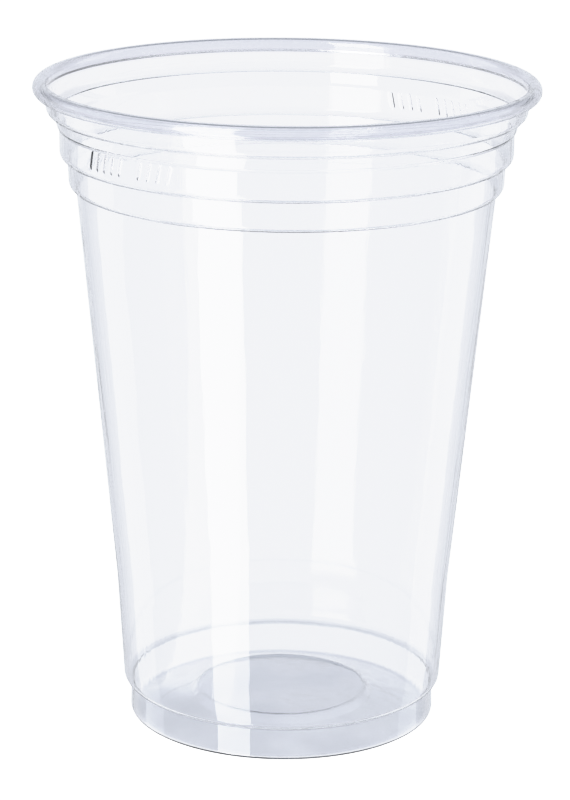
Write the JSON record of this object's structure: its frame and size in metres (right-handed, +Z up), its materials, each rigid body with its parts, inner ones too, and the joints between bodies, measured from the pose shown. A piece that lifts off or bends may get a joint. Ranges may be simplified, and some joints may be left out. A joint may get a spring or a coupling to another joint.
{
  "type": "plastic disposable cup",
  "caption": "Clear thin-walled drinking cup with a rolled rim, stepped rings below it, a tapered body and a raised base; holds a cold drink.",
  "frame": {"origin": "centre of the circle the foot rests on, on the cup's axis", "axes": "+Z up along the cup's axis, from the foot to the mouth; -Y is the front, with the raised strokes to its left"},
  "size_m": [0.095, 0.095, 0.1245],
  "materials": {
    "clear_film": "clear, smooth and glossy"
  },
  "bodies": {
    "root": {"cup": "clear_film"}
  },
  "joints": []
}
